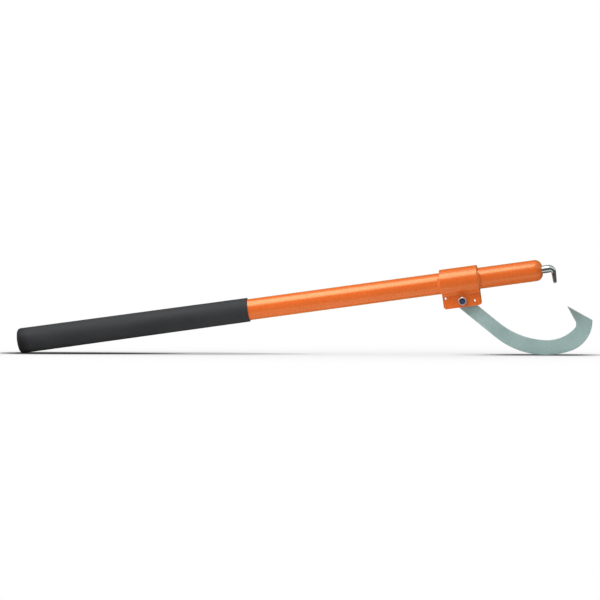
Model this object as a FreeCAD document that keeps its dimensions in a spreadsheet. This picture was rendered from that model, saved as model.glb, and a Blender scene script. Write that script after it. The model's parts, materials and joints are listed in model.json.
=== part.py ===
import FreeCAD, Part
import math
import os
from types import SimpleNamespace

import Sketcher
from FreeCAD import Placement, Rotation, Vector

# Cant hook for rolling logs. A painted steel tube carries a rubber grip at its butt and a
# domed cap with a bent toe pin at its tip. A saddle bracket, bent from one plate, wraps
# the tube and is welded to it. A flat steel hook swings on a bolt between its two ears.
#
# Lengths are in millimetres and angles in degrees. Every piece is drawn in the tool's own
# frame: X along the tube towards the tip, Y across the tool, Z square to the tube and away
# from the hook, with zero at the hook's pivot. The finished tool is then laid on the floor
# as it rests, on the grip's butt and the belly of the hook.

SIZES = {
    # Places along the tube
    "butt_to_pivot": 809.6,
    "pivot_to_tip": 148.9,
    # Handle tube
    "tube_diameter": 38.1,
    "tube_wall": 2.1,
    # Rubber grip, closed at the butt
    "grip_length": 424.1,
    "grip_butt_wall": 3.55,
    "grip_front_wall": 2.45,
    "grip_crown": 4.0,
    "grip_corner_radius": 7.5,
    "grip_lip_radius": 0.9,
    "grip_end_thickness": 7.0,
    "grip_clearance": 0.1,
    # Plug in the tube's butt end
    "plug_flange": 2.5,
    "plug_length": 18.0,
    "plug_wall": 2.4,
    "plug_clearance": 0.1,
    # Domed cap in the tube's tip
    "cap_length": 17.0,
    "cap_crown": 3.5,
    "cap_corner_radius": 12.5,
    "cap_spigot_length": 30.0,
    "cap_clearance": 0.1,
    # Toe pin: a round rod bent down beyond the cap, its leg tapered
    "toe_rod_diameter": 14.0,
    "toe_leg_diameter": 8.5,
    "toe_tip_diameter": 6.2,
    "toe_tip_flat": 0.8,
    "toe_bend_inside": 0.65,
    "toe_reach": 19.1,
    "toe_drop": 26.9,
    "toe_tail_chamfer": 1.0,
    "toe_clearance": 0.05,
    # Saddle bracket
    "bracket_length": 67.9,
    "pivot_to_bracket_front": 32.5,
    "bracket_plate": 5.3,
    "bracket_clearance": 0.1,
    "bracket_bend_radius": 4.5,
    "bracket_edge_round": 0.6,
    "pivot_below_bend": 11.2,
    "ear_foot": 10.8,
    "ear_corner_radius": 5.5,
    "ear_hole_diameter": 4.76,
    "rear_hole_edge": 4.5,
    "rear_hole_above": 8.5,
    "front_hole_edge": 11.7,
    "front_hole_below": 1.8,
    # Weld beads between the bracket's ends and the tube
    "bead_leg": 4.8,
    "bead_bulge": 0.9,
    "bead_start_angle": 58.0,
    "bead_sweep": 88.0,
    "bead_clearance": 0.05,
    # Pivot bolt and its lock nut
    "bolt_diameter": 9.525,
    "bolt_recess": 1.34,
    "bolt_end_chamfer": 1.0,
    "bolt_head_height": 6.0,
    "bolt_turn": 12.0,
    "hex_across_flats": 14.3,
    "hex_chamfer": 0.9,
    "ear_bore_clearance": 0.2,
    "nut_hex_height": 8.3,
    "nut_height": 11.6,
    "nut_collar_wall": 0.6,
    "nut_collar_round": 0.8,
    "nut_rim_thickness": 0.7,
    "nut_rim_lip": 0.5,
    "nut_turn": 0.0,
    "thread_clearance": 0.05,
    "insert_wall": 0.94,
    "insert_height": 2.2,
    "insert_clearance": 0.05,
    # Hook: its concave edge, heel to point
    "shank_inner_offset": 9.95,
    "heel_clearance": 3.65,
    "inner_straight": 74.6,
    "inner_long_radius": 140.4,
    "inner_long_sweep": 36.8,
    "inner_round_radius": 69.0,
    "inner_round_sweep": 48.5,
    "throat_radius": 10.9,
    "throat_sweep": 72.0,
    "point_length": 30.2,
    # Hook: its convex edge, as it differs from the concave one
    "outer_straight_extra": 11.8,
    "outer_radius_extra": 2.0,
    "outer_sweep_extra": 20.4,
    "outer_round_drop": 12.4,
    "outer_round_sweep": 73.3,
    "hook_thickness": 7.94,
    "hook_side_clearance": 0.3,
    "hook_edge_chamfer": 0.5,
    "pivot_running_clearance": 0.1,
    "hook_rest_angle": 46.6,
}

ACROSS_POINTS = 1 / math.cos(math.pi / 6)
X_AXIS = Vector(1, 0, 0)
Y_AXIS = Vector(0, 1, 0)
Z_AXIS = Vector(0, 0, 1)
# How a constraint names the sketch's own origin, and the places on a curve
ORIGIN = -1
START, END, CENTRE = range(1, 4)
# How far apart two lengths may be and still count as the same
TOLERANCE = 1e-4


class Size:
    """A value worked out from cells of the sheet, kept with the expression that gives it."""

    def __init__(self, value, text):
        self.value = value
        self.text = text

    def combined(self, sign, other, value):
        text = other.text if isinstance(other, Size) else str(other)
        return Size(value, f"({self.text} {sign} {text})")

    def __add__(self, other):
        return self.combined("+", other, self.value + float(other))

    def __sub__(self, other):
        return self.combined("-", other, self.value - float(other))

    def __mul__(self, other):
        return self.combined("*", other, self.value * float(other))

    def __truediv__(self, other):
        return self.combined("/", other, self.value / float(other))

    def __neg__(self):
        return Size(-self.value, f"(0 - {self.text})")

    def root(self):
        return Size(math.sqrt(self.value), f"sqrt({self.text})")

    def __float__(self):
        return float(self.value)


def fill_sheet(doc):
    """Writes the driving sizes to a sheet and returns them by name."""
    sheet = doc.addObject("Spreadsheet::Sheet", "sizes")
    for row, (name, value) in enumerate(SIZES.items(), start=1):
        sheet.set(f"A{row}", name)
        sheet.set(f"B{row}", str(value))
        sheet.setAlias(f"B{row}", name)
    doc.recompute()
    return SimpleNamespace(**{name: Size(value, f"sizes.{name}") for name, value in SIZES.items()})


doc = FreeCAD.newDocument("CantHook")
size = fill_sheet(doc)


# Helpers for bodies, sketches and features

def new_body(label):
    body = doc.addObject("PartDesign::Body", label)
    body.Label = label
    return body


def new_sketch(body, plane, name, offset=None):
    """A sketch flat on an origin plane of its own body, or lifted off that plane."""
    sketch = body.newObject("Sketcher::SketchObject", f"{body.Name}_{name}")
    support = next(item for item in body.Origin.OriginFeatures if item.Role == plane)
    sketch.AttachmentSupport = (support, "")
    sketch.MapMode = "FlatFace"
    if offset is not None:
        sketch.setExpression("AttachmentOffset.Base.z", offset.text)
    return sketch


def origin_axis(body, role):
    return (next(item for item in body.Origin.OriginFeatures if item.Role == role), [""])


def point(across, up):
    return Vector(float(across), float(up), 0)


def draw_line(sketch, start, end):
    return sketch.addGeometry(Part.LineSegment(point(*start), point(*end)))


def draw_arc(sketch, centre, radius, first, last):
    circle = Part.Circle(point(*centre), Z_AXIS, float(radius))
    return sketch.addGeometry(Part.ArcOfCircle(circle, math.radians(first), math.radians(last)))


def draw_circle(sketch, centre, diameter):
    """A circle with its centre placed from the sketch's origin and its diameter bound."""
    across, up = centre
    circle = sketch.addGeometry(Part.Circle(point(across, up), Z_AXIS, float(diameter) / 2))
    bind(sketch, "Diameter", circle, to=diameter)
    place_point(sketch, circle, CENTRE, across, up)
    return circle


def place_point(sketch, curve, end, across, up):
    """Holds a point of a curve at a place measured from the sketch's origin."""
    if float(across) == 0 and float(up) == 0:
        relate(sketch, "Coincident", curve, end, ORIGIN, START)
        return
    for kind, level, value in (("DistanceX", "Vertical", across), ("DistanceY", "Horizontal", up)):
        if float(value) == 0:
            relate(sketch, level, ORIGIN, START, curve, end)
        else:
            bind(sketch, kind, ORIGIN, START, curve, end, to=value)


def bind(sketch, kind, *places, to):
    """Adds a dimension and binds it to the sheet. An angle is given in degrees."""
    is_angle = kind == "Angle"
    value = math.radians(float(to)) if is_angle else float(to)
    index = sketch.addConstraint(Sketcher.Constraint(kind, *places, value))
    sketch.setExpression(f"Constraints[{index}]", f"{to.text} * 1 deg" if is_angle else to.text)


def relate(sketch, kind, *places):
    sketch.addConstraint(Sketcher.Constraint(kind, *places))


def draw_run(sketch, corners):
    """Straight lines from corner to corner, each held at the corner where it starts."""
    lines = [draw_line(sketch, start, end) for start, end in zip(corners, corners[1:])]
    for line, following in zip(lines, lines[1:]):
        relate(sketch, "Coincident", line, END, following, START)
    for line, corner in zip(lines, corners):
        place_point(sketch, line, START, *corner)
    return lines


def draw_outline(sketch, corners):
    """A closed outline of straight lines."""
    lines = draw_run(sketch, corners + corners[:1])
    relate(sketch, "Coincident", lines[-1], END, lines[0], START)


def crown_radius(half_width, rise):
    """Radius of a shallow crown that rises so far over a half width."""
    return (half_width * half_width + rise * rise) / (rise * 2)


def draw_crowned_outline(sketch, corners):
    """Straight lines from the sketch's origin to a crown's rim, closed by the crown."""
    lines = draw_run(sketch, corners)
    place_point(sketch, lines[-1], END, *corners[-1])
    rim_along, rim_height = (float(value) for value in corners[-1])
    radius = crown_radius(rim_height, abs(rim_along))
    opening = math.degrees(math.asin(rim_height / radius))
    if rim_along > 0:
        crown = draw_arc(sketch, (radius, 0), radius, 180 - opening, 180)
        rim, middle = START, END
    else:
        crown = draw_arc(sketch, (-radius, 0), radius, 0, opening)
        rim, middle = END, START
    relate(sketch, "Coincident", lines[-1], END, crown, rim)
    relate(sketch, "Coincident", lines[0], START, crown, middle)
    relate(sketch, "Horizontal", ORIGIN, START, crown, CENTRE)


def feature(body, kind, sketch, name, **settings):
    made = body.newObject(f"PartDesign::{kind}", f"{body.Name}_{name}")
    made.Profile = sketch
    for setting, value in settings.items():
        setattr(made, setting, value)
    body.Tip = made
    return made


def pad(body, sketch, name, length, **settings):
    made = feature(body, "Pad", sketch, name, **settings)
    made.setExpression("Length", length.text)
    return made


def cut_through(body, sketch, name):
    """Cuts a sketch right through its body, on both sides of the sketch's plane."""
    return feature(body, "Pocket", sketch, name, Type="ThroughAll", Midplane=True)


def revolve(body, sketch, name, axis, kind="Revolution"):
    return feature(body, kind, sketch, name, ReferenceAxis=origin_axis(body, axis), Angle=360)


def dress_edges(body, kind, name, wanted, amount):
    """Fillets or chamfers those edges of the body's last feature that fit a description."""
    doc.recompute()
    base = body.Tip
    names = [f"Edge{i}" for i, edge in enumerate(base.Shape.Edges, start=1) if wanted(edge)]
    made = body.newObject(f"PartDesign::{kind}", f"{body.Name}_{name}")
    made.Base = (base, names)
    made.setExpression("Radius" if kind == "Fillet" else "Size", amount.text)
    body.Tip = made
    return made


def is_ring(edge, along, radius, axis=X_AXIS):
    """A full circle round an axis through zero, at a place along it and of a radius."""
    if edge.Degenerated or len(edge.Vertexes) > 1:
        return False
    curve = edge.Curve
    if not isinstance(curve, Part.Circle):
        return False
    same_place = abs(curve.Center.dot(axis) - float(along)) < TOLERANCE
    return same_place and abs(curve.Radius - float(radius)) < TOLERANCE


# Sizes that several pieces share

tube_bore = size.tube_diameter - size.tube_wall * 2
tube_butt = size.grip_end_thickness + size.plug_flange
grip_bore = size.tube_diameter / 2 + size.grip_clearance
grip_butt = grip_bore + size.grip_butt_wall
grip_front = grip_bore + size.grip_front_wall
cap_depth = size.cap_length + size.cap_spigot_length
toe_bend_radius = size.toe_rod_diameter / 2 + size.toe_bend_inside
hook_gap = size.hook_thickness / 2 + size.hook_side_clearance
ear_face = hook_gap + size.bracket_plate
wrap_inside = size.tube_diameter / 2 + size.bracket_clearance
wrap_outside = wrap_inside + size.bracket_plate
# The bends between wrap and ears: their centres lie this far out, and this far below the tube's axis
bend_out = ear_face + size.bracket_bend_radius
bend_reach = wrap_outside + size.bracket_bend_radius
bend_drop = (bend_reach * bend_reach - bend_out * bend_out).root()
pivot_drop = bend_drop + size.pivot_below_bend
ear_depth = pivot_drop + size.ear_foot
bracket_middle = size.pivot_to_bracket_front - size.bracket_length / 2
rear_hole_along = size.rear_hole_edge - size.bracket_length / 2
front_hole_along = size.bracket_length / 2 - size.front_hole_edge
pivot_bore = size.bolt_diameter + size.pivot_running_clearance * 2
bolt_length = ear_face * 2 + size.nut_height - size.bolt_recess
insert_radius = size.bolt_diameter / 2 + size.thread_clearance + size.insert_wall
insert_pocket = insert_radius + size.insert_clearance
insert_floor = size.nut_height - size.nut_rim_thickness - size.insert_height
shank_outer_offset = pivot_drop - size.tube_diameter / 2 - size.heel_clearance


# Handle tube, from its butt end

def make_handle_tube():
    body = new_body("handle_tube")
    section = new_sketch(body, "YZ_Plane", "section")
    draw_circle(section, (0, 0), size.tube_diameter)
    draw_circle(section, (0, 0), tube_bore)
    length = size.butt_to_pivot - tube_butt + size.pivot_to_tip - size.cap_length
    pad(body, section, "wall", length)
    return body


# Rubber grip, from the middle of its closed end

def grip_corner():
    """Centre of the rounding between the grip's crowned end and its tapered side."""
    crown = size.grip_crown.value
    radius = size.grip_corner_radius.value
    sphere = crown_radius(grip_butt.value, crown)
    slope = (grip_butt.value - grip_front.value) / (size.grip_length.value - crown)
    # The centre lies its own radius inside the side, and inside the crown's sphere
    height = grip_butt.value + slope * crown - radius * math.hypot(1, slope)
    square = 1 + slope ** 2
    middle = sphere + height * slope
    rest = sphere ** 2 + height ** 2 - (sphere - radius) ** 2
    along = (middle - math.sqrt(middle ** 2 - square * rest)) / square
    return along, height - slope * along


def make_grip_sleeve():
    body = new_body("grip_sleeve")
    outline = new_sketch(body, "XZ_Plane", "outline")
    draw_crowned_outline(outline, [
        (0, 0),
        (size.grip_end_thickness, 0),
        (size.grip_end_thickness, grip_bore),
        (size.grip_length, grip_bore),
        (size.grip_length, grip_front),
        (size.grip_crown, grip_butt),
    ])
    revolve(body, outline, "sleeve", "X_Axis")
    dress_edges(body, "Fillet", "corner", lambda edge: is_ring(edge, size.grip_crown, grip_butt),
                size.grip_corner_radius)
    dress_edges(body, "Fillet", "lip", lambda edge: is_ring(edge, size.grip_length, grip_front),
                size.grip_lip_radius)
    return body


# Plug that closes the tube's butt end under the grip, from the tube's end face

def make_butt_plug():
    body = new_body("butt_plug")
    outline = new_sketch(body, "XZ_Plane", "outline")
    spigot = tube_bore / 2 - size.plug_clearance
    hollow = spigot - size.plug_wall
    draw_outline(outline, [
        (-size.plug_flange, 0),
        (size.plug_wall, 0),
        (size.plug_wall, hollow),
        (size.plug_length, hollow),
        (size.plug_length, spigot),
        (0, spigot),
        (0, size.tube_diameter / 2),
        (-size.plug_flange, size.tube_diameter / 2),
    ])
    revolve(body, outline, "cup", "X_Axis")
    return body


# Domed cap with its spigot in the tube's tip, from the top of the dome

def make_tip_cap():
    body = new_body("tip_cap")
    outline = new_sketch(body, "XZ_Plane", "outline")
    half_tube = size.tube_diameter / 2
    spigot = tube_bore / 2 - size.cap_clearance
    draw_crowned_outline(outline, [
        (0, 0),
        (-cap_depth, 0),
        (-cap_depth, spigot),
        (-size.cap_length, spigot),
        (-size.cap_length, half_tube),
        (-size.cap_crown, half_tube),
    ])
    revolve(body, outline, "dome", "X_Axis")
    dress_edges(body, "Fillet", "corner", lambda edge: is_ring(edge, -size.cap_crown, half_tube),
                size.cap_corner_radius)
    bore = new_sketch(body, "YZ_Plane", "bore_circle")
    draw_circle(bore, (0, 0), size.toe_rod_diameter + size.toe_clearance * 2)
    cut_through(body, bore, "pin_bore")
    return body


# Toe pin, from the point where the rod starts to bend

def make_toe_hook():
    body = new_body("toe_hook")
    section = new_sketch(body, "YZ_Plane", "rod_circle")
    draw_circle(section, (0, 0), size.toe_rod_diameter)
    tail = cap_depth + size.toe_reach - toe_bend_radius
    pad(body, section, "tail", tail, Reversed=True)
    dress_edges(body, "Chamfer", "tail_chamfer",
                lambda edge: is_ring(edge, -tail, size.toe_rod_diameter / 2), size.toe_tail_chamfer)
    bend = new_sketch(body, "XZ_Plane", "bend_line")
    curve = draw_arc(bend, (0, -toe_bend_radius), toe_bend_radius, 0, 90)
    place_point(bend, curve, END, 0, 0)
    place_point(bend, curve, CENTRE, 0, -toe_bend_radius)
    relate(bend, "Horizontal", curve, CENTRE, curve, START)
    start = new_sketch(body, "YZ_Plane", "bend_start")
    draw_circle(start, (0, 0), size.toe_rod_diameter)
    finish = new_sketch(body, "XY_Plane", "bend_finish", offset=-toe_bend_radius)
    draw_circle(finish, (toe_bend_radius, 0), size.toe_leg_diameter)
    pipe = feature(body, "AdditivePipe", start, "bend", Transformation="Multisection")
    pipe.Spine = (bend, ["Edge1"])
    pipe.Sections = [(finish, [""])]
    leg = new_sketch(body, "XZ_Plane", "leg_outline")
    half_leg = size.toe_leg_diameter / 2
    half_tip = size.toe_tip_diameter / 2
    draw_outline(leg, [
        (toe_bend_radius, -toe_bend_radius),
        (toe_bend_radius, -size.toe_drop),
        (toe_bend_radius + half_tip, -size.toe_drop),
        (toe_bend_radius + half_leg, -toe_bend_radius),
    ])
    made = feature(body, "Revolution", leg, "leg", Angle=360)
    made.ReferenceAxis = (leg, ["Edge1"])
    dress_edges(body, "Fillet", "tip_round",
                lambda edge: abs(edge.BoundBox.ZMax + size.toe_drop.value) < TOLERANCE,
                half_tip - size.toe_tip_flat / 2)
    return body


# Saddle bracket, bent from one plate, from the tube's axis at the middle of its length

def make_saddle_bracket():
    body = new_body("saddle_bracket")
    section = new_sketch(body, "YZ_Plane", "half_section")
    inner_bend = size.bracket_bend_radius + size.bracket_plate
    turn = math.degrees(math.atan2(bend_drop.value, bend_out.value))
    wrap_in = draw_arc(section, (0, 0), wrap_inside, -turn, 90)
    bend_in = draw_arc(section, (bend_out, -bend_drop), inner_bend, 180 - turn, 180)
    face_in = draw_line(section, (hook_gap, -bend_drop), (hook_gap, -ear_depth))
    foot = draw_line(section, (hook_gap, -ear_depth), (ear_face, -ear_depth))
    face_out = draw_line(section, (ear_face, -ear_depth), (ear_face, -bend_drop))
    bend_over = draw_arc(section, (bend_out, -bend_drop), size.bracket_bend_radius, 180 - turn, 180)
    wrap_out = draw_arc(section, (0, 0), wrap_outside, -turn, 90)
    seam = draw_line(section, (0, wrap_outside), (0, wrap_inside))
    relate(section, "Tangent", wrap_in, START, bend_in, START)
    relate(section, "Tangent", bend_in, END, face_in, START)
    relate(section, "Coincident", face_in, END, foot, START)
    relate(section, "Coincident", foot, END, face_out, START)
    relate(section, "Tangent", face_out, END, bend_over, END)
    relate(section, "Tangent", bend_over, START, wrap_out, START)
    relate(section, "Coincident", wrap_out, END, seam, START)
    relate(section, "Coincident", seam, END, wrap_in, END)
    relate(section, "Coincident", wrap_in, CENTRE, ORIGIN, START)
    relate(section, "Coincident", wrap_out, CENTRE, ORIGIN, START)
    relate(section, "Vertical", face_in)
    relate(section, "Horizontal", foot)
    relate(section, "Vertical", ORIGIN, START, seam, START)
    relate(section, "Vertical", ORIGIN, START, seam, END)
    bind(section, "Radius", wrap_in, to=wrap_inside)
    bind(section, "Radius", wrap_out, to=wrap_outside)
    bind(section, "Radius", bend_in, to=inner_bend)
    bind(section, "Radius", bend_over, to=size.bracket_bend_radius)
    place_point(section, foot, START, hook_gap, -ear_depth)
    bind(section, "DistanceX", foot, START, foot, END, to=size.bracket_plate)
    half = pad(body, section, "half", size.bracket_length, Midplane=True)
    whole = body.newObject("PartDesign::Mirrored", f"{body.Name}_whole")
    whole.Originals = [half]
    whole.MirrorPlane = origin_axis(body, "XZ_Plane")
    body.Tip = whole
    dress_edges(body, "Fillet", "ear_corners", is_ear_corner, size.ear_corner_radius)
    holes = new_sketch(body, "XZ_Plane", "hole_circles")
    draw_circle(holes, (-bracket_middle, -pivot_drop), size.bolt_diameter + size.ear_bore_clearance * 2)
    draw_circle(holes, (rear_hole_along, size.rear_hole_above - pivot_drop), size.ear_hole_diameter)
    draw_circle(holes, (front_hole_along, -size.front_hole_below - pivot_drop), size.ear_hole_diameter)
    cut_through(body, holes, "holes")
    dress_edges(body, "Fillet", "edges", is_bracket_rim, size.bracket_edge_round)
    return body


def is_ear_corner(edge):
    """A short edge across an ear's plate, at the bottom of one of its ends."""
    box = edge.BoundBox
    low = abs(box.ZMax + ear_depth.value) < TOLERANCE
    return low and box.XLength < TOLERANCE and box.ZLength < TOLERANCE


def is_bracket_rim(edge):
    """An edge of the plate's two ends or of an ear's rim, but not of a hole."""
    box = edge.BoundBox
    half_length = size.bracket_length.value / 2
    on_end = abs(abs(box.Center.x) - half_length) < TOLERANCE and box.XLength < TOLERANCE
    on_foot = box.ZMax < TOLERANCE - ear_depth.value and box.YLength < TOLERANCE
    on_corner = isinstance(edge.Curve, Part.Circle) and box.YLength < TOLERANCE
    is_corner = on_corner and abs(edge.Curve.Radius - size.ear_corner_radius.value) < TOLERANCE
    return on_end or on_foot or is_corner


# Weld bead in the corner between an end of the bracket and the tube, from that corner

def make_weld_bead(label):
    body = new_body(label)
    section = new_sketch(body, "XZ_Plane", "section")
    seat = size.tube_diameter / 2 + size.bead_clearance
    top = seat + size.bead_leg
    half_chord = size.bead_leg / math.sqrt(2)
    radius = crown_radius(half_chord, size.bead_bulge)
    half_sweep = math.degrees(math.asin(float(half_chord / radius)))
    # The face's centre lies beyond the seam, on a line at 45 degrees through the chord
    depth = float(radius - size.bead_bulge) / math.sqrt(2)
    middle = size.bead_leg.value / 2
    centre = (depth - middle, float(seat) + middle - depth)
    upright = draw_line(section, (0, seat), (0, top))
    face = draw_arc(section, centre, radius, 135 - half_sweep, 135 + half_sweep)
    foot = draw_line(section, (-size.bead_leg, seat), (0, seat))
    relate(section, "Coincident", upright, END, face, START)
    relate(section, "Coincident", face, END, foot, START)
    relate(section, "Coincident", foot, END, upright, START)
    place_point(section, upright, START, 0, seat)
    place_point(section, upright, END, 0, top)
    place_point(section, foot, START, -size.bead_leg, seat)
    bind(section, "Radius", face, to=radius)
    made = feature(body, "Revolution", section, "bead", ReferenceAxis=origin_axis(body, "X_Axis"))
    made.setExpression("Angle", f"{size.bead_sweep.text} * 1 deg")
    return body


# Hexagon shared by the bolt's head and the lock nut

def draw_hexagon(sketch):
    """A hexagon round the sketch's origin, corners up and down, bound across its flats."""
    reach = size.hex_across_flats.value * ACROSS_POINTS / 2
    angles = [math.radians(30 + 60 * step) for step in range(6)]
    corners = [(reach * math.cos(angle), reach * math.sin(angle)) for angle in angles]
    guide = sketch.addGeometry(Part.Circle(point(0, 0), Z_AXIS, reach), True)
    relate(sketch, "Coincident", guide, CENTRE, ORIGIN, START)
    sides = [draw_line(sketch, start, end) for start, end in zip(corners, corners[1:] + corners[:1])]
    for side, following in zip(sides, sides[1:] + sides[:1]):
        relate(sketch, "Coincident", side, END, following, START)
        relate(sketch, "PointOnObject", side, END, guide)
    for side in sides[1:]:
        relate(sketch, "Equal", sides[0], side)
    relate(sketch, "Vertical", sides[2])
    bind(sketch, "DistanceX", sides[2], START, sides[5], START, to=size.hex_across_flats)


def turn_hex_corners(body, face):
    """Turns off the hexagon's six corners where they meet its outer face."""
    outline = new_sketch(body, "XZ_Plane", "corner_cut")
    reach = size.hex_across_flats * ACROSS_POINTS / 2
    draw_outline(outline, [
        (reach - size.hex_chamfer * 2, face),
        (reach + size.hex_chamfer, face - size.hex_chamfer * 1.5),
        (reach + size.hex_chamfer, face),
    ])
    revolve(body, outline, "corners", "Z_Axis", kind="Groove")


# Pivot bolt, from the underside of its head, with the head along its Z axis

def make_pivot_bolt():
    body = new_body("pivot_bolt")
    hexagon = new_sketch(body, "XY_Plane", "hexagon")
    draw_hexagon(hexagon)
    pad(body, hexagon, "head", size.bolt_head_height)
    turn_hex_corners(body, size.bolt_head_height)
    shank = new_sketch(body, "XY_Plane", "shank_circle")
    draw_circle(shank, (0, 0), size.bolt_diameter)
    pad(body, shank, "shank", bolt_length, Reversed=True)
    dress_edges(body, "Chamfer", "end_chamfer",
                lambda edge: is_ring(edge, -bolt_length, size.bolt_diameter / 2, Z_AXIS),
                size.bolt_end_chamfer)
    return body


# Lock nut, from its bearing face, with its collar along its Z axis

def make_lock_nut():
    body = new_body("lock_nut")
    hexagon = new_sketch(body, "XY_Plane", "hexagon")
    draw_hexagon(hexagon)
    pad(body, hexagon, "hex", size.nut_hex_height)
    turn_hex_corners(body, size.nut_hex_height)
    collar = new_sketch(body, "XY_Plane", "collar_circle")
    collar_radius = insert_pocket + size.nut_collar_wall
    draw_circle(collar, (0, 0), collar_radius * 2)
    pad(body, collar, "collar", size.nut_height)
    dress_edges(body, "Fillet", "collar_round",
                lambda edge: is_ring(edge, size.nut_height, collar_radius, Z_AXIS),
                size.nut_collar_round)
    room = new_sketch(body, "XZ_Plane", "inside")
    thread = size.bolt_diameter / 2 + size.thread_clearance
    rim = insert_pocket - size.nut_rim_lip
    ceiling = size.nut_height - size.nut_rim_thickness
    draw_outline(room, [
        (0, 0),
        (thread, 0),
        (thread, insert_floor),
        (insert_pocket, insert_floor),
        (insert_pocket, ceiling),
        (rim, ceiling),
        (rim, size.nut_height),
        (0, size.nut_height),
    ])
    revolve(body, room, "bore", "Z_Axis", kind="Groove")
    return body


# Nylon ring held in the lock nut's collar, from its inner face

def make_nut_insert():
    body = new_body("nut_insert")
    ring = new_sketch(body, "XY_Plane", "ring")
    draw_circle(ring, (0, 0), insert_radius * 2)
    draw_circle(ring, (0, 0), size.bolt_diameter + size.thread_clearance * 2)
    pad(body, ring, "ring_pad", size.insert_height - size.insert_clearance)
    return body


# Hook, cut from plate, from its pivot with its shank along X

def draw_edge(sketch, offset, steps):
    """One edge of the hook: straight runs and left-hand arcs, each tangent to the last.

    A step is a length, or a pair of a radius and the angle that the arc turns through.
    """
    place = Vector(0, float(offset), 0)
    heading = 0.0
    curves = []
    for step in steps:
        if isinstance(step, tuple):
            radius, sweep = step
            normal = math.radians(heading + 90)
            centre = place + Vector(math.cos(normal), math.sin(normal), 0) * radius.value
            curve = draw_arc(sketch, (centre.x, centre.y), radius, heading - 90,
                             heading - 90 + sweep.value)
            heading += sweep.value
            bind(sketch, "Radius", curve, to=radius)
            bind(sketch, "Angle", curve, to=sweep)
            turned = math.radians(heading - 90)
            place = centre + Vector(math.cos(turned), math.sin(turned), 0) * radius.value
        else:
            way = math.radians(heading)
            after = place + Vector(math.cos(way), math.sin(way), 0) * step.value
            curve = draw_line(sketch, (place.x, place.y), (after.x, after.y))
            bind(sketch, "Distance", curve, to=step)
            place = after
        if curves:
            relate(sketch, "Tangent", curves[-1], END, curve, START)
        curves.append(curve)
    relate(sketch, "Horizontal", curves[0])
    place_point(sketch, curves[0], START, 0, offset)
    return curves, (place.x, place.y)


def make_hook():
    body = new_body("hook")
    outline = new_sketch(body, "XZ_Plane", "outline")
    inner, tip = draw_edge(outline, size.shank_inner_offset, [
        size.inner_straight,
        (size.inner_long_radius, size.inner_long_sweep),
        (size.inner_round_radius, size.inner_round_sweep),
        (size.throat_radius, size.throat_sweep),
        size.point_length,
    ])
    outer, corner = draw_edge(outline, -shank_outer_offset, [
        size.inner_straight + size.outer_straight_extra,
        (size.inner_long_radius + size.outer_radius_extra,
         size.inner_long_sweep + size.outer_sweep_extra),
        (size.inner_round_radius - size.outer_round_drop, size.outer_round_sweep),
    ])
    half_width = float(size.shank_inner_offset + shank_outer_offset) / 2
    middle = float(size.shank_inner_offset - shank_outer_offset) / 2
    heel = draw_arc(outline, (0, middle), half_width, 90, 270)
    relate(outline, "Tangent", heel, START, inner[0], START)
    relate(outline, "Coincident", heel, END, outer[0], START)
    back_cut = draw_line(outline, corner, tip)
    relate(outline, "Coincident", outer[-1], END, back_cut, START)
    relate(outline, "Coincident", back_cut, END, inner[-1], END)
    pad(body, outline, "plate", size.hook_thickness, Midplane=True)
    hole = new_sketch(body, "XZ_Plane", "pivot_circle")
    draw_circle(hole, (0, 0), pivot_bore)
    cut_through(body, hole, "pivot_hole")
    dress_edges(body, "Chamfer", "edges", lambda edge: edge.BoundBox.YLength < TOLERANCE,
                size.hook_edge_chamfer)
    return body


# Resting place: the tool touches the floor with the grip's corner and the hook's belly

def rest_on_floor():
    """Placement that lays the tool frame on the floor, before it is centred."""
    along, above = grip_corner()
    heel = Vector(along - size.butt_to_pivot.value, 0, pivot_drop.value - above)
    heel_radius = size.grip_corner_radius.value
    belly_radius = float(size.inner_long_radius + size.outer_radius_extra)
    belly = Vector(float(size.inner_straight + size.outer_straight_extra), 0,
                   belly_radius - shank_outer_offset.value)
    belly = Rotation(Y_AXIS, size.hook_rest_angle.value).multVec(belly)
    apart = heel - belly
    lean = math.atan2(apart.x, apart.z)
    reach = math.hypot(apart.x, apart.z)
    tilt = lean + math.acos((heel_radius - belly_radius) / reach)
    turn = Rotation(Y_AXIS, -math.degrees(tilt))
    lift = heel_radius - turn.multVec(heel).z
    return Placement(Vector(0, 0, lift), turn)


def on_tube(along, turn=Rotation()):
    """A place on the tube's axis, so far from the pivot towards the tip."""
    return Placement(Vector(float(along), 0, pivot_drop.value), turn)


def on_pivot(across, turn):
    """A place on the pivot's axis, so far from the tool's middle towards the far side."""
    return Placement(Vector(0, float(across), 0), turn)


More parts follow.
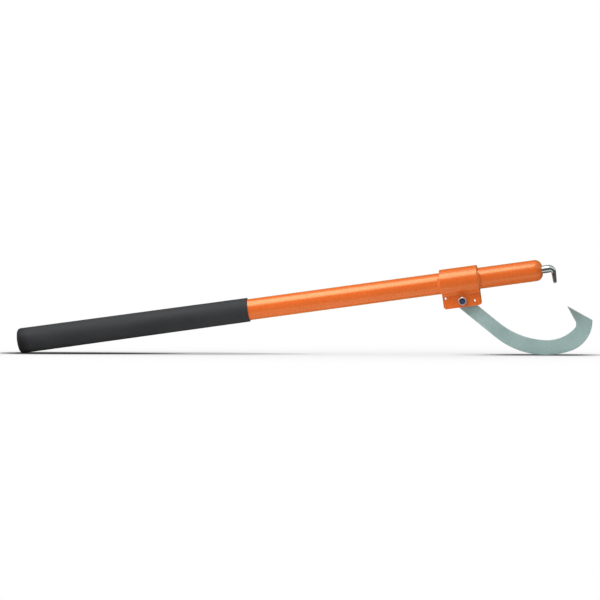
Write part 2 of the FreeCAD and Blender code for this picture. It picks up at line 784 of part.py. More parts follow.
def tool_places():
    """Each sub-part's place in the tool frame, by its label."""
    tube_start = tube_butt - size.butt_to_pivot
    bend_start = size.pivot_to_tip + size.toe_reach - toe_bend_radius
    bracket_rear = size.pivot_to_bracket_front - size.bracket_length
    near_bead = Rotation(X_AXIS, size.bead_start_angle.value)
    far_bead = Rotation(X_AXIS, float(-size.bead_start_angle - size.bead_sweep))
    backwards = Rotation(Z_AXIS, 180)
    out_of_far_ear = Rotation(X_AXIS, -90)
    out_of_near_ear = Rotation(X_AXIS, 90)
    return {
        "handle_tube": on_tube(tube_start),
        "grip_sleeve": on_tube(-size.butt_to_pivot),
        "butt_plug": on_tube(tube_start),
        "tip_cap": on_tube(size.pivot_to_tip),
        "toe_hook": on_tube(bend_start),
        "saddle_bracket": on_tube(bracket_middle),
        "weld_bead_rear_near": on_tube(bracket_rear, near_bead),
        "weld_bead_rear_far": on_tube(bracket_rear, far_bead),
        "weld_bead_front_near": on_tube(size.pivot_to_bracket_front, backwards * far_bead),
        "weld_bead_front_far": on_tube(size.pivot_to_bracket_front, backwards * near_bead),
        "pivot_bolt": on_pivot(ear_face, out_of_far_ear * Rotation(Z_AXIS, size.bolt_turn.value)),
        "lock_nut": on_pivot(-ear_face, out_of_near_ear * Rotation(Z_AXIS, size.nut_turn.value)),
        "nut_insert": on_pivot(-ear_face - insert_floor, out_of_near_ear),
        "hook": on_pivot(0, Rotation(Y_AXIS, size.hook_rest_angle.value)),
    }


def make_parts():
    makers = [make_handle_tube, make_grip_sleeve, make_butt_plug, make_tip_cap, make_toe_hook,
              make_saddle_bracket, make_pivot_bolt, make_lock_nut, make_nut_insert, make_hook]
    bodies = [make() for make in makers]
    for end in ("rear", "front"):
        for side in ("near", "far"):
            bodies.append(make_weld_bead(f"weld_bead_{end}_{side}"))
    doc.recompute()
    return bodies


def lay_down(bodies):
    """Places every body as the tool rests, with zero below the middle of its length."""
    floor = rest_on_floor()
    places = tool_places()
    for body in bodies:
        body.Placement = floor * places[body.Label]
    boxes = [body.Shape.optimalBoundingBox(False, False) for body in bodies]
    middle = (min(box.XMin for box in boxes) + max(box.XMax for box in boxes)) / 2
    centred = Placement(Vector(-middle, 0, 0), Rotation()) * floor
    for body in bodies:
        body.Placement = centred * places[body.Label]
    doc.recompute()
    return centred


def check(bodies):
    for item in doc.Objects:
        failed = [state for state in item.State if state in ("Invalid", "Error")]
        if failed:
            raise RuntimeError(f"{item.Label} is {failed}")
    for body in bodies:
        if body.Shape.isNull() or not body.Shape.isValid() or body.Shape.Volume <= 0:
            raise RuntimeError(f"{body.Label} has no valid shape")


def export(bodies):
    os.makedirs("parts", exist_ok=True)
    for body in bodies:
        body.Shape.exportStep(f"parts/{body.Label}.step")


def report(bodies, frame):
    """Prints the places that describe the part: its pivot, its holes and its solids."""
    holes = {
        "pivot": Vector(0, 0, 0),
        "rear hole": Vector(float(bracket_middle + rear_hole_along), 0, size.rear_hole_above.value),
        "front hole": Vector(float(bracket_middle + front_hole_along), 0, -size.front_hole_below.value),
    }
    along = frame.Rotation.multVec(X_AXIS)
    rise = math.degrees(math.atan2(along.z, along.x))
    print("tube rises", round(rise, 4), "ear faces apart", 2 * ear_face.value)
    for name, place in holes.items():
        spot = frame.multVec(place)
        print(name, [round(value, 4) for value in spot])
    for body in bodies:
        box = body.Shape.optimalBoundingBox(False, False)
        corners = (box.XMin, box.XMax, box.YMin, box.YMax, box.ZMin, box.ZMax)
        spans = [round(value, 3) for value in corners]
        print(body.Label, len(body.Shape.Solids), round(body.Shape.Volume, 2), spans)


bodies = make_parts()
frame = lay_down(bodies)
check(bodies)
export(bodies)
report(bodies, frame)
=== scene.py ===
import json
import math

import bmesh
import bpy
import numpy as np
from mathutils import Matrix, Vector, noise


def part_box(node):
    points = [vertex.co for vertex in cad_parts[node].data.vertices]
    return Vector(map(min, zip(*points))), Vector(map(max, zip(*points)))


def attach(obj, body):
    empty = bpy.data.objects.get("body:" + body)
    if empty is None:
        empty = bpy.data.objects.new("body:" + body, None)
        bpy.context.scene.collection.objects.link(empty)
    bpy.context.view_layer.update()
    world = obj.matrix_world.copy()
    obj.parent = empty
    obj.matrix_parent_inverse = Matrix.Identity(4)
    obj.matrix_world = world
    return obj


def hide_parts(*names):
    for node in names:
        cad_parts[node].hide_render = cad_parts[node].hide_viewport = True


# Looks of the cant hook: the grip, the weld beads and the bolt as detailed meshes, a material
# for every piece, and the studio round them. All lengths are in metres.

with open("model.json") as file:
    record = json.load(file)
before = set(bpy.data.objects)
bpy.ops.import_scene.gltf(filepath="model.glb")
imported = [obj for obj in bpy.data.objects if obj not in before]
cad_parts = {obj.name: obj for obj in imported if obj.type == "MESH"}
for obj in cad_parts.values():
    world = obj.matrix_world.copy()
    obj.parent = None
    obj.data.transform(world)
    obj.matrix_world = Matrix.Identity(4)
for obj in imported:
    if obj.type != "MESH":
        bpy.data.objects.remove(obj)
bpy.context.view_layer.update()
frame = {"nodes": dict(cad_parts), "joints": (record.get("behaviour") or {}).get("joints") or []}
nodes = frame["nodes"]

MM = 0.001
TAU = 2 * math.pi

TUBE_RADIUS = 19.05 * MM

# Grip
GRIP_BUTT_RADIUS = 22.7 * MM
GRIP_FRONT_RADIUS = 21.6 * MM
GRIP_BORE_RADIUS = 19.15 * MM
GRIP_CROWN = 4.0 * MM
GRIP_CORNER = 7.5 * MM
GRIP_LIP = 0.9 * MM
GRIP_END = 7.0 * MM
GRIP_COLUMNS = 112
CROWN_ROWS = 18
CORNER_ROWS = 14
HELD_ROWS = 150
LIP_ROWS = 8
BORE_ROWS = 30
# The held surface waves, mostly inwards, by two noises given as (repeats per metre, share)
GRIP_WAVE = 0.14 * MM
GRIP_WAVE_SHARES = (40, 0.6), (130, 0.4)
GRIP_SINK_SHARE = 0.4
# Painted shade darkens the butt's end over these distances from the middle of its face
BUTT_PAINTED_SHADE_REACH = 27 * MM, 36 * MM
BUTT_PAINTED_SHADE_WANDER = 10 * MM

# Weld beads, their angles counted from the tube's top
BEAD_START, BEAD_END = math.radians(58), math.radians(146)
BEAD_SEAT = TUBE_RADIUS + 0.05 * MM
BEAD_LEG = 4.8 * MM
BEAD_BULGE = 0.8 * MM
BEAD_RIPPLE = 0.26 * MM
BEAD_PITCH = 2.6 * MM
BEAD_CRESCENT = 1.5 * MM
BEAD_TAPER = 3.2 * MM
BEAD_NOSE = 0.2 * MM
BEAD_RINGS = 96
BEAD_ROWS = 16
BEAD_BACK_ROWS = 4
# Unevenness along a bead, and what sets those of the four beads apart
BEAD_NOISE_SCALE = 260
BEAD_END_SEED = 900
BEAD_SIDE_SEED = 7

# Pivot bolt, its places counted along its axis from the tool's middle to the far side
BOLT_RADIUS = 4.7625 * MM
BOLT_SEAT = 9.57 * MM
BOLT_HEAD = 6.0 * MM
BOLT_END = -19.83 * MM
BOLT_END_CHAMFER = 1.0 * MM
BOLT_COLUMNS = 72
SHANK_EASE = 0.02 * MM
SHANK_ROWS = 6
HEX_ACROSS = 14.3 * MM
HEX_FACE = 6.55 * MM
HEX_CHAMFER = math.radians(30)
WASHER_RADIUS = 6.75 * MM
WASHER_HEIGHT = 0.35 * MM
HEAD_DISH = 4.6 * MM
HEAD_DISH_SLOPE = 0.4 * MM
HEAD_DISH_DEPTH = 0.25 * MM
THREAD_START = -5.2 * MM
THREAD_PITCH = 1.5875 * MM
THREAD_DEPTH = 0.82 * MM
THREAD_EASE = 0.04 * MM
THREAD_RUNOUT = 2 * THREAD_PITCH
THREAD_STEEPNESS = 1.35
THREAD_CREST_SHARE = 0.12
THREAD_ROWS_PER_TURN = 12

# The ground finish fades out over these distances from the hook's point
GROUND_REACH = 12 * MM, 45 * MM
GROUND_WANDER = 10 * MM

# Depths of the fine relief that the materials give
PAINT_RELIEF = 0.03 * MM
GRIP_RELIEF = 0.16 * MM
PLASTIC_RELIEF = 0.04 * MM
NYLON_RELIEF = 0.03 * MM
STEEL_RELIEF = 0.02 * MM
HOOK_RELIEF = 0.05 * MM

# Camera, its azimuth counted from the near side towards the tip
VIEW_AZIMUTH = math.radians(6.0)
VIEW_ELEVATION = math.radians(1.5)
VIEW_DISTANCE = 12.0
VIEW_HALF_WIDTH = 0.539
VIEW_TARGET = Vector((-0.00608, 0, 0.0971))
VIEW_CLIP = 0.1, 100

# Floor, and its shadow as (reach, steepness, depth): at the contacts, round them and far out
FLOOR_HALF = 30
FLOOR_COLOUR = (0.92, 0.92, 0.92, 1)
SHADOWS = (0.043, 9.0, 0.95), (0.08, 9.0, 0.45), (0.5, 10.0, 0.17)

# Dark cards, which only reflections show. The front card's near edge is a row of (along, across)
# that follows the rise of the tool, and both profiles are rows of (across, height).
CARD_SHADE = 0.08
CARD_LIFT = 0.003
CARD_HALF = 2.2
FRONT_CARD_EDGE = (-CARD_HALF, -0.04), (-0.5, -0.04), (0.5, -0.2), (CARD_HALF, -0.2)
FRONT_CARD_PROFILE = ((-0.7, CARD_LIFT), (-1.3, CARD_LIFT), (-1.5, 0.05), (-1.6, 0.3),
                      (-1.6, 1.1))
BACK_CARD_PROFILE = ((0.02, CARD_LIFT), (0.6, CARD_LIFT), (1.3, CARD_LIFT), (1.5, 0.05),
                     (1.6, 0.3), (1.6, 1.2), (1.3, 1.9), (0.75, 2.3))
# The tip's card is an upright arc round the toe pin, its ends counted from the camera's side
TIP_CARD_RADIUS = 0.9
TIP_CARD_ENDS = math.radians(30), math.radians(140)
TIP_CARD_HEIGHTS = 0.004, 0.42
TIP_CARD_COLUMNS = 24

# Softboxes as (place, width, height, strength), where a strength of 1 is plain white
LAMP_AIM = Vector((0, 0, 0.1))
KEY_LAMP = Vector((-0.42, -0.56, 1.38)), 1.5, 1.15, 4.35
BACK_LAMP = Vector((0, 1.5, 0.9)), 1.6, 0.8, 1.0
SKY_STRENGTH = 0.38


# Meshes

def points_of(node):
    """A node's mesh points, one row each."""
    mesh = nodes[node].data
    flat = np.empty(len(mesh.vertices) * 3)
    mesh.vertices.foreach_get("co", flat)
    return flat.reshape(-1, 3)


def tube_direction():
    """Direction from the tube's butt to its tip. Its points all lie on the rims of its ends."""
    points = points_of("handle_tube")
    middle = (points[:, 0].min() + points[:, 0].max()) / 2
    ends = points[points[:, 0] < middle], points[points[:, 0] >= middle]
    rear, front = (Vector((end.min(0) + end.max(0)) / 2) for end in ends)
    return (front - rear).normalized()


def reach(node, direction):
    """Lowest and highest place of a node's points along a direction."""
    along = points_of(node) @ np.array(direction)
    return float(along.min()), float(along.max())


# The tube's own directions: along it to its tip, up across it, and to the far side
ALONG = tube_direction()
ABOVE = Vector((-ALONG.z, 0, ALONG.x))
FAR_SIDE = Vector((0, 1, 0))
AXIS_HEIGHT = sum(reach("handle_tube", ABOVE)) / 2


def on_tube(along, radius, angle):
    """Point at a radius from the tube's axis, its angle counted from the top to the far side."""
    height = AXIS_HEIGHT + radius * math.cos(angle)
    return ALONG * along + ABOVE * height + FAR_SIDE * (radius * math.sin(angle))


def steps(start, end, count):
    """Evenly spaced values after start, up to and with end."""
    return [start + (end - start) * i / count for i in range(1, count + 1)]


def loft_piece(name, rings, look, replaced, sharp):
    """Piece of the handle through rings of points, where a ring of one point closes an end.

    Edges that bend by more than sharp degrees stay crisp.
    """
    points, faces, starts = [], [], []
    for ring in rings:
        starts.append(len(points))
        points.extend(ring)
    for this, (ring, following) in enumerate(zip(rings, rings[1:])):
        a, b = starts[this], starts[this + 1]
        columns = max(len(ring), len(following))
        for i in range(columns):
            j = (i + 1) % columns
            if len(ring) == 1:
                faces.append((a, b + i, b + j))
            elif len(following) == 1:
                faces.append((a + i, b, a + j))
            else:
                faces.append((a + i, b + i, b + j, a + j))
    mesh = bpy.data.meshes.new(name)
    mesh.from_pydata(points, [], faces)
    shaped = bmesh.new()
    shaped.from_mesh(mesh)
    bmesh.ops.recalc_face_normals(shaped, faces=shaped.faces)
    shaped.to_mesh(mesh)
    shaped.free()
    mesh.polygons.foreach_set("use_smooth", [True] * len(mesh.polygons))
    mesh.set_sharp_from_angle(angle=math.radians(sharp))
    mesh.materials.append(look)
    piece = bpy.data.objects.new(name, mesh)
    bpy.context.scene.collection.objects.link(piece)
    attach(piece, "handle")
    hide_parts(replaced)


def grip_profile(start, end):
    """Grip's outline as (along, radius, whether it is held), from its butt to its bore's floor."""
    sphere = (GRIP_BUTT_RADIUS ** 2 + GRIP_CROWN ** 2) / (2 * GRIP_CROWN)
    inner = GRIP_BUTT_RADIUS - GRIP_CORNER
    opening = math.asin(inner / (sphere - GRIP_CORNER))
    corner = start + sphere - (sphere - GRIP_CORNER) * math.cos(opening)
    outline = [(start, 0, True)]
    for angle in steps(0, opening, CROWN_ROWS):
        outline.append((start + sphere * (1 - math.cos(angle)), sphere * math.sin(angle), True))
    for angle in steps(opening, math.pi / 2, CORNER_ROWS):
        outline.append((corner - GRIP_CORNER * math.cos(angle),
                        inner + GRIP_CORNER * math.sin(angle), True))
    for share in steps(0, 1, HELD_ROWS):
        radius = GRIP_BUTT_RADIUS + (GRIP_FRONT_RADIUS - GRIP_BUTT_RADIUS) * share
        outline.append((corner + (end - GRIP_LIP - corner) * share, radius, True))
    for angle in steps(0, math.pi / 2, LIP_ROWS):
        outline.append((end - GRIP_LIP * (1 - math.sin(angle)),
                        GRIP_FRONT_RADIUS - GRIP_LIP * (1 - math.cos(angle)), False))
    outline.append((end, GRIP_BORE_RADIUS, False))
    for along in steps(end, start + GRIP_END, BORE_ROWS):
        outline.append((along, GRIP_BORE_RADIUS, False))
    outline.append((start + GRIP_END, 0, False))
    return outline


def make_grip(look):
    """The grip: a closed sleeve whose held surface is uneven, as foam rubber is."""
    rings = []
    for along, radius, held in grip_profile(*reach("grip_sleeve", ALONG)):
        ring = []
        for column in range(GRIP_COLUMNS if radius else 1):
            angle = column * TAU / GRIP_COLUMNS
            point = on_tube(along, radius, angle)
            if held and radius:
                wave = sum(noise.noise(point * scale) * share for scale, share in GRIP_WAVE_SHARES)
                point = on_tube(along, radius + GRIP_WAVE * (wave - GRIP_SINK_SHARE), angle)
            ring.append(point)
        rings.append(ring)
    loft_piece("grip", rings, look, "grip_sleeve", sharp=50)


def bead_ripple(travelled, belly, seed):
    """Height of the ripples at a place along the bead, which bow back at its belly."""
    phase = TAU * (travelled - BEAD_CRESCENT * belly) / BEAD_PITCH
    uneven = noise.noise(Vector((travelled * BEAD_NOISE_SCALE, *seed)))
    return math.sin(phase) + 0.35 * math.sin(2 * phase + 0.8) + 0.8 * uneven


def bead_section(size, ripple_at):
    """Fillet's outline as (out from the bracket's end, above the seat), drawn in by size."""
    leg = BEAD_LEG * size
    section = []
    for share in [0] + steps(0, 1, BEAD_ROWS):
        belly = 4 * share * (1 - share)
        bulge = (BEAD_BULGE + BEAD_RIPPLE * ripple_at(belly)) * size * belly / math.sqrt(2)
        section.append((leg * (1 - share) + bulge, leg * share + bulge))
    section += [(0, leg * (1 - share)) for share in steps(0, 1, BEAD_BACK_ROWS)]
    section += [(leg * share, 0) for share in steps(0, 1, BEAD_BACK_ROWS)[:-1]]
    return section


def make_bead(end, side, look):
    """One weld bead: a convex fillet whose ripples bow along the way that it was laid."""
    node = f"weld_bead_{end}_{side}"
    low, high = reach("saddle_bracket", ALONG)
    face, outward = (low, -1) if end == "rear" else (high, 1)
    turn = -1 if side == "near" else 1
    seed = face * BEAD_END_SEED, turn * BEAD_SIDE_SEED
    length = (BEAD_END - BEAD_START) * BEAD_SEAT
    rings = []
    for share in [0] + steps(0, 1, BEAD_RINGS):
        travelled = length * share
        angle = turn * (BEAD_START + (BEAD_END - BEAD_START) * share)
        edge = min(travelled, length - travelled) / BEAD_TAPER
        size = math.sqrt(max(0, 1 - max(0, 1 - edge) ** 2))
        if size:
            section = bead_section(size, lambda belly: bead_ripple(travelled, belly, seed))
        else:
            section = [(BEAD_NOSE, 0)]
        rings.append([on_tube(face + outward * out, BEAD_SEAT + above, angle)
                      for out, above in section])
    loft_piece(f"{node}_rippled", rings, look, node, sharp=60)


def hex_radius(angle):
    """Distance from a hexagon's middle to its side, the angle counted from a corner."""
    return HEX_ACROSS / 2 / math.cos(angle % (math.pi / 3) - math.pi / 6)


def thread_radius(across, angle):
    """Radius of the threaded part, which runs out to the head and is chamfered at its end."""
    phase = (across / THREAD_PITCH + angle / TAU) % 1
    flank = min(1, max(0, abs(2 * phase - 1) * THREAD_STEEPNESS - THREAD_CREST_SHARE))
    runout = min(1, max(0, (THREAD_START - across) / THREAD_RUNOUT))
    radius = BOLT_RADIUS - THREAD_EASE - THREAD_DEPTH * flank * runout
    return min(radius, BOLT_RADIUS - BOLT_END_CHAMFER + (across - BOLT_END))


def make_bolt(look):
    """The pivot bolt: a dished hexagon head with a washer face, a shank and a threaded end."""
    pivot = Vector(frame["joints"][0]["pos_m"])
    spokes = [vertex.co - pivot for vertex in nodes["pivot_bolt"].data.vertices]
    corner = max(spokes, key=lambda spoke: math.hypot(spoke.x, spoke.z))
    first = math.atan2(corner.z, corner.x)

    def ring(across, radius_at):
        """Ring whose radius depends on the angle, and its place across perhaps on the radius."""
        points = []
        for column in range(BOLT_COLUMNS):
            angle = column * TAU / BOLT_COLUMNS
            radius = radius_at(angle)
            place = across(radius) if callable(across) else across
            points.append(pivot + Vector((radius * math.cos(first + angle), place,
                                          radius * math.sin(first + angle))))
        return points

    top = BOLT_SEAT + BOLT_HEAD
    washer = BOLT_SEAT + WASHER_HEIGHT
    slope = math.tan(HEX_CHAMFER)
    rings = [[pivot + Vector((0, top - HEAD_DISH_DEPTH, 0))],
             ring(top - HEAD_DISH_DEPTH, lambda angle: HEAD_DISH - HEAD_DISH_SLOPE),
             ring(top, lambda angle: HEAD_DISH),
             ring(top, lambda angle: HEX_FACE),
             ring(lambda radius: top - max(0, radius - HEX_FACE) * slope, hex_radius),
             ring(washer, hex_radius),
             ring(washer, lambda angle: WASHER_RADIUS),
             ring(BOLT_SEAT, lambda angle: WASHER_RADIUS),
             ring(BOLT_SEAT, lambda angle: BOLT_RADIUS)]
    for across in steps(BOLT_SEAT, THREAD_START, SHANK_ROWS):
        rings.append(ring(across, lambda angle: BOLT_RADIUS - SHANK_EASE))
    turns = (THREAD_START - BOLT_END) / THREAD_PITCH
    for across in steps(THREAD_START, BOLT_END, round(turns * THREAD_ROWS_PER_TURN)):
        rings.append(ring(across, lambda angle: thread_radius(across, angle)))
    rings.append([pivot + Vector((0, BOLT_END, 0))])
    loft_piece("pivot_bolt_threaded", rings, look, "pivot_bolt", sharp=35)


# Materials

class Tree:
    """A material's or the world's node tree, with short ways to add nodes and to join them."""

    def __init__(self, holder):
        holder.use_nodes = True
        self.nodes = holder.node_tree.nodes
        self.links = holder.node_tree.links

    def put(self, value, socket):
        """Links an output to a socket, or sets the socket to a number, vector or colour."""
        if isinstance(value, bpy.types.NodeSocket):
            self.links.new(value, socket)
        else:
            socket.default_value = value

    def add(self, kind, inputs, **settings):
        """Outputs of a new node, its inputs given by name or number."""
        node = self.nodes.new(kind)
        for setting, value in settings.items():
            setattr(node, setting, value)
        for socket, value in inputs.items():
            self.put(value, node.inputs[socket])
        return node.outputs

    def math(self, operation, *values):
        """Result of an operation on outputs or numbers."""
        return self.add("ShaderNodeMath", dict(enumerate(values)), operation=operation)["Value"]


class Look(Tree):
    """A material of noises and mixes on a Principled shader. Scales are repeats per metre."""

    def __init__(self, name, **values):
        self.material = bpy.data.materials.new(name)
        super().__init__(self.material)
        self.shader = self.nodes["Principled BSDF"]
        self.place = self.add("ShaderNodeTexCoord", {})["Object"]
        for socket, value in values.items():
            self.put(value, self.shader.inputs[socket.replace("_", " ")])

    def stretched(self, factors, turn):
        """Coordinates turned about Y and scaled, for grain that runs one way."""
        inputs = {"Vector": self.place, "Rotation": (0, turn, 0), "Scale": factors}
        return self.add("ShaderNodeMapping", inputs)["Vector"]

    def noise(self, scale, detail=2, roughness=0.5, place=None):
        """Cloudy noise from 0 to 1."""
        inputs = {"Vector": place or self.place, "Scale": scale, "Detail": detail,
                  "Roughness": roughness}
        return self.add("ShaderNodeTexNoise", inputs)["Fac"]

    def cells(self, scale):
        """Rounded cells, as the distance from the middle of each."""
        inputs = {"Vector": self.place, "Scale": scale}
        return self.add("ShaderNodeTexVoronoi", inputs, feature="SMOOTH_F1")["Distance"]

    def remap(self, value, low, high, start=0.3, end=0.7):
        """A value stretched from between start and end to between low and high."""
        inputs = {"Value": value, "From Min": start, "From Max": end, "To Min": low,
                  "To Max": high}
        return self.add("ShaderNodeMapRange", inputs)["Result"]

    def total(self, first, second, weight):
        """The first value plus the second times a weight."""
        return self.math("MULTIPLY_ADD", second, weight, first)

    def far_from(self, point):
        """Distance from a point of the object."""
        inputs = {0: self.place, 1: point}
        return self.add("ShaderNodeVectorMath", inputs, operation="DISTANCE")["Value"]

    def mix(self, factor, first, second):
        """The first colour, turned into the second one as the factor goes from 0 to 1."""
        # The colours are inputs 6 and 7 and output 2 of this node
        inputs = {"Factor": factor, 6: first, 7: second}
        return self.add("ShaderNodeMix", inputs, data_type="RGBA")[2]

    def finish(self, colour, roughness, height, relief):
        """The material, once its shader has its colour, its gloss and its fine relief."""
        inputs = {"Strength": 1, "Distance": relief, "Height": height}
        self.put(self.add("ShaderNodeBump", inputs)["Normal"], self.shader.inputs["Normal"])
        self.put(colour, self.shader.inputs["Base Color"])
        self.put(roughness, self.shader.inputs["Roughness"])
        return self.material


def srgb(red, green, blue):
    """Linear colour of a screen colour given from 0 to 255."""
    linear = []
    for value in (red, green, blue):
        value /= 255
        linear.append(value / 12.92 if value <= 0.04045 else ((value + 0.055) / 1.055) ** 2.4)
    return (*linear, 1.0)


def orange_paint():
    """Glossy powder coat: orange-peel skin and a slightly uneven shade."""
    look = Look("orange_paint", Coat_Weight=0.25, Coat_Roughness=0.16,
                Specular_IOR_Level=0.75, Specular_Tint=(0.55, 0.95, 0.45, 1),
                Sheen_Weight=0.45, Sheen_Roughness=0.35, Sheen_Tint=(0.65, 1.0, 0.0, 1))
    cloud = look.noise(9, 3)
    speck = look.noise(900)
    colour = look.mix(look.remap(cloud, 0, 1), srgb(233, 102, 35), srgb(239, 108, 41))
    colour = look.mix(look.remap(speck, 0, 0.12, 0.45, 0.75), colour, srgb(218, 90, 29))
    roughness = look.remap(look.noise(260), 0.24, 0.32)
    peel = look.total(look.noise(240, 1), look.noise(50, 1), 1.2)
    return look.finish(colour, roughness, peel, PAINT_RELIEF)


def grip_rubber():
    """Matte charcoal foam rubber, fine pebbled skin, a little scuffed and dusty; painted shade at
    the butt.
    """
    look = Look("grip_rubber", Specular_IOR_Level=0.22)
    cloud = look.noise(16, 4)
    fine = look.noise(520, 3, 0.6)
    colour = look.mix(look.remap(cloud, 0, 1), srgb(49, 50, 52), srgb(56, 57, 58))
    colour = look.mix(look.remap(fine, 0, 0.4, 0.4, 0.75), colour, srgb(40, 40, 42))
    # Painted shade: the butt's end is mixed towards near black, fading out between the two reaches
    butt_middle = on_tube(reach("grip_sleeve", ALONG)[0], 0, 0)
    butt = look.total(look.far_from(butt_middle), cloud, BUTT_PAINTED_SHADE_WANDER)
    colour = look.mix(look.remap(butt, 0.8, 0, *BUTT_PAINTED_SHADE_REACH), colour, srgb(22, 22, 24))
    pebbles = look.total(look.cells(900), fine, 0.7)
    return look.finish(colour, look.remap(cloud, 0.62, 0.74), pebbles, GRIP_RELIEF)


def plug_plastic():
    """Plain moulded plastic with a fine spark-eroded grain."""
    look = Look("plug_plastic")
    grain = look.noise(1400, 3)
    colour = look.mix(look.remap(look.noise(40), 0, 1), srgb(24, 24, 25), srgb(32, 32, 33))
    return look.finish(colour, look.remap(grain, 0.45, 0.6), grain, PLASTIC_RELIEF)


def plated_steel(name, shades, gloss, mottle_scale, grain_scale, metallic):
    """Zinc-plated steel: faint cloudy mottling over fine drawing marks."""
    look = Look(name, Metallic=metallic)
    cloud = look.noise(mottle_scale, 3, 0.6)
    grain = look.noise(grain_scale, 3, 0.6)
    colour = look.mix(look.remap(cloud, 0, 1), *shades)
    roughness = look.remap(look.total(cloud, grain, 0.4), *gloss, 0.5, 0.9)
    return look.finish(colour, roughness, grain, STEEL_RELIEF)


def fastener_zinc():
    """Dull zinc plate of the lock nut."""
    shades = srgb(184, 176, 170), srgb(198, 190, 184)
    return plated_steel("fastener_zinc", shades, (0.5, 0.6), 300, 1800, 0.8)


def toe_steel():
    """Bright plate of the toe pin."""
    shades = srgb(190, 200, 196), srgb(206, 214, 210)
    return plated_steel("toe_steel", shades, (0.2, 0.32), 90, 1200, 1)


def hook_point():
    """The hook's ground point: its highest place on the side away from the pivot."""
    points = points_of("hook")
    middle = (points[:, 0].min() + points[:, 0].max()) / 2
    return Vector(max(points[points[:, 0] > middle], key=lambda point: point[2]))


def hook_steel():
    """Satin grey-green plate over rolled steel, mottled, with faint rolling marks."""
    look = Look("hook_steel", Metallic=0.5)
    cloud = look.noise(26, 4, 0.6)
    mottle = look.noise(420, 3, 0.65)
    rolled = look.noise(90, 3, 0.6, look.stretched((0.12, 1, 1), math.radians(-40)))
    colour = look.mix(look.remap(cloud, 0, 1), srgb(178, 206, 202), srgb(189, 217, 213))
    colour = look.mix(look.remap(mottle, 0, 0.5, 0.42, 0.7), colour, srgb(161, 186, 182))
    ground = look.total(look.far_from(hook_point()), cloud, GROUND_WANDER)
    colour = look.mix(look.remap(ground, 1, 0, *GROUND_REACH), colour, srgb(152, 163, 160))
    roughness = look.remap(look.total(cloud, rolled, 0.6), 0.4, 0.54, 0.6, 1.0)
    return look.finish(colour, roughness, look.total(mottle, rolled, 1.2), HOOK_RELIEF)


def bolt_black():
    """Black-oxide steel with a faint blue cast, a little rubbed."""
    look = Look("bolt_black", Metallic=1)
    cloud = look.noise(300, 3, 0.6)
    grain = look.noise(1800, 3, 0.6)
    colour = look.mix(look.remap(cloud, 0, 1), srgb(124, 138, 168), srgb(138, 152, 180))
    return look.finish(colour, look.remap(cloud, 0.34, 0.46), grain, STEEL_RELIEF)


def insert_nylon():
    """Dark blue nylon, faintly cloudy, as turned from bar."""
    look = Look("insert_nylon", Subsurface_Weight=0.05)
    cloud = look.noise(500)
    colour = look.mix(look.remap(cloud, 0, 1), srgb(26, 40, 96), srgb(38, 56, 120))
    return look.finish(colour, look.remap(cloud, 0.32, 0.42), look.noise(1500), NYLON_RELIEF)


def dress_node(name, look):
    """Gives a carried-over node its material on every slot."""
    mesh = nodes[name].data
    mesh.materials.clear()
    mesh.materials.append(look)
    mesh.polygons.foreach_set("material_index", [0] * len(mesh.polygons))


# Studio

def stage_sheet(name, rows, look):
    """Sheet through rows of points, for the floor and the cards."""
    mesh = bpy.data.meshes.new(name)
    width = len(rows[0])
    faces = [(r * width + c, r * width + c + 1, (r + 1) * width + c + 1, (r + 1) * width + c)
             for r in range(len(rows) - 1) for c in range(width - 1)]
    mesh.from_pydata([point for row in rows for point in row], [], faces)
    mesh.materials.append(look)
    sheet = bpy.data.objects.new(name, mesh)
    bpy.context.scene.collection.objects.link(sheet)
    return sheet


def stage_material(name):
    """New material without a shader, its tree and the socket that shows its surface."""
    material = bpy.data.materials.new(name)
    tree = Tree(material)
    tree.nodes.remove(tree.nodes["Principled BSDF"])
    return material, tree, tree.nodes["Material Output"].inputs["Surface"]


def seen_or_mirrored(tree):
    """1 for rays from the camera, through glass and off gloss, and 0 for those that light."""
    rays = tree.add("ShaderNodeLightPath", {})
    seen = tree.math("MAXIMUM", rays["Is Camera Ray"], rays["Is Transmission Ray"])
    return tree.math("MAXIMUM", seen, rays["Is Glossy Ray"])


def floor_look():
    """Pale floor, which the camera and mirrors see as white with the tool's soft shadow."""
    material, tree, surface = stage_material("floor")
    light = 1.0
    for distance, steepness, depth in SHADOWS:
        openness = tree.add("ShaderNodeAmbientOcclusion", {"Distance": distance})["AO"]
        openness = tree.math("POWER", openness, steepness)
        shade = tree.math("MULTIPLY_ADD", openness, depth, 1 - depth)
        light = tree.math("MULTIPLY", light, shade)
    shown = tree.add("ShaderNodeEmission", {"Strength": light})["Emission"]
    lit = tree.add("ShaderNodeBsdfDiffuse", {"Color": FLOOR_COLOUR})["BSDF"]
    inputs = {0: seen_or_mirrored(tree), 1: lit, 2: shown}
    tree.put(tree.add("ShaderNodeMixShader", inputs)["Shader"], surface)
    return material


def card_look():
    """Even dark grey, whatever the light."""
    material, tree, surface = stage_material("dark_card")
    inputs = {"Color": (CARD_SHADE, CARD_SHADE, CARD_SHADE, 1)}
    tree.put(tree.add("ShaderNodeEmission", inputs)["Emission"], surface)
    return material


def card_rows():
    """Each card's rows of points, by its name."""
    front = [[(x, y, CARD_LIFT) for x, y in FRONT_CARD_EDGE]]
    for across, height in FRONT_CARD_PROFILE:
        front.append([(x, across, height) for x, _ in FRONT_CARD_EDGE])
    back = [[(x, across, height) for x in (-CARD_HALF, CARD_HALF)]
            for across, height in BACK_CARD_PROFILE]
    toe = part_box("toe_hook")[1]
    first, last = TIP_CARD_ENDS
    arc = [(toe[0] + TIP_CARD_RADIUS * math.sin(angle), -TIP_CARD_RADIUS * math.cos(angle))
           for angle in [first] + steps(first, last, TIP_CARD_COLUMNS)]
    tip = [[(x, y, height) for x, y in arc] for height in TIP_CARD_HEIGHTS]
    return {"front_card": front, "back_card": back, "tip_card": tip}


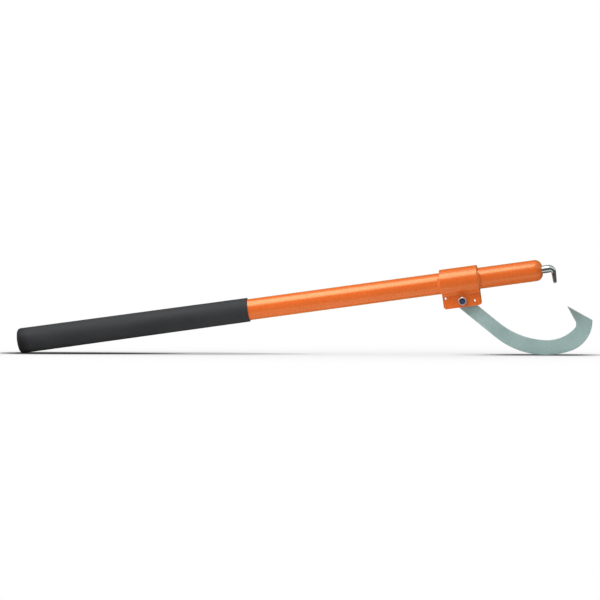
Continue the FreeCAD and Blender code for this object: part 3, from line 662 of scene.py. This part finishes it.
def make_stage():
    """The floor and the dark cards that gloss and bare steel mirror."""
    corners = [[(x, y, 0) for x in (-FLOOR_HALF, FLOOR_HALF)] for y in (-FLOOR_HALF, FLOOR_HALF)]
    stage_sheet("floor", corners, floor_look())
    shade = card_look()
    for name, rows in card_rows().items():
        card = stage_sheet(name, rows, shade)
        card.visible_camera = False
        card.visible_diffuse = False
        card.visible_shadow = False
        card.visible_transmission = False


def softbox(name, place, width, height, strength):
    """Area lamp of an even brightness, turned to the tool."""
    lamp = bpy.data.lights.new(name, "AREA")
    lamp.shape = "RECTANGLE"
    lamp.size, lamp.size_y = width, height
    lamp.energy = strength * math.pi * width * height
    holder = bpy.data.objects.new(name, lamp)
    holder.location = place
    holder.rotation_mode = "QUATERNION"
    holder.rotation_quaternion = (LAMP_AIM - place).to_track_quat("-Z", "Y")
    bpy.context.scene.collection.objects.link(holder)
    return holder


def make_lights():
    """Two softboxes, and a sky that lights softly and is seen as white."""
    softbox("key", *KEY_LAMP)
    softbox("back", *BACK_LAMP).visible_glossy = False
    world = bpy.data.worlds.new("studio")
    bpy.context.scene.world = world
    tree = Tree(world)
    inputs = {"Value": seen_or_mirrored(tree), "To Min": SKY_STRENGTH, "To Max": 1}
    strength = tree.add("ShaderNodeMapRange", inputs)["Result"]
    sky = tree.nodes["Background"].inputs
    tree.put((1, 1, 1, 1), sky["Color"])
    tree.put(strength, sky["Strength"])


def make_camera():
    """Camera at the photo's viewing angle, far off with a long lens."""
    lens = bpy.data.cameras.new("camera")
    lens.angle = 2 * math.atan(VIEW_HALF_WIDTH / VIEW_DISTANCE)
    lens.clip_start, lens.clip_end = VIEW_CLIP
    camera = bpy.data.objects.new("camera", lens)
    level = math.cos(VIEW_ELEVATION)
    back = Vector((math.sin(VIEW_AZIMUTH) * level, -math.cos(VIEW_AZIMUTH) * level,
                   math.sin(VIEW_ELEVATION)))
    camera.location = VIEW_TARGET + back * VIEW_DISTANCE
    camera.rotation_mode = "QUATERNION"
    camera.rotation_quaternion = (-back).to_track_quat("-Z", "Y")
    bpy.context.scene.collection.objects.link(camera)
    bpy.context.scene.camera = camera


make_camera()
make_stage()
make_lights()

paint = orange_paint()
make_grip(grip_rubber())
for bead_end in ("rear", "front"):
    for bead_side in ("near", "far"):
        make_bead(bead_end, bead_side, paint)
make_bolt(bolt_black())
for node_name in ("handle_tube", "tip_cap", "saddle_bracket"):
    dress_node(node_name, paint)
dress_node("butt_plug", plug_plastic())
dress_node("toe_hook", toe_steel())
dress_node("lock_nut", fastener_zinc())
dress_node("nut_insert", insert_nylon())
dress_node("hook", hook_steel())

bpy.context.scene.view_settings.view_transform = "Standard"
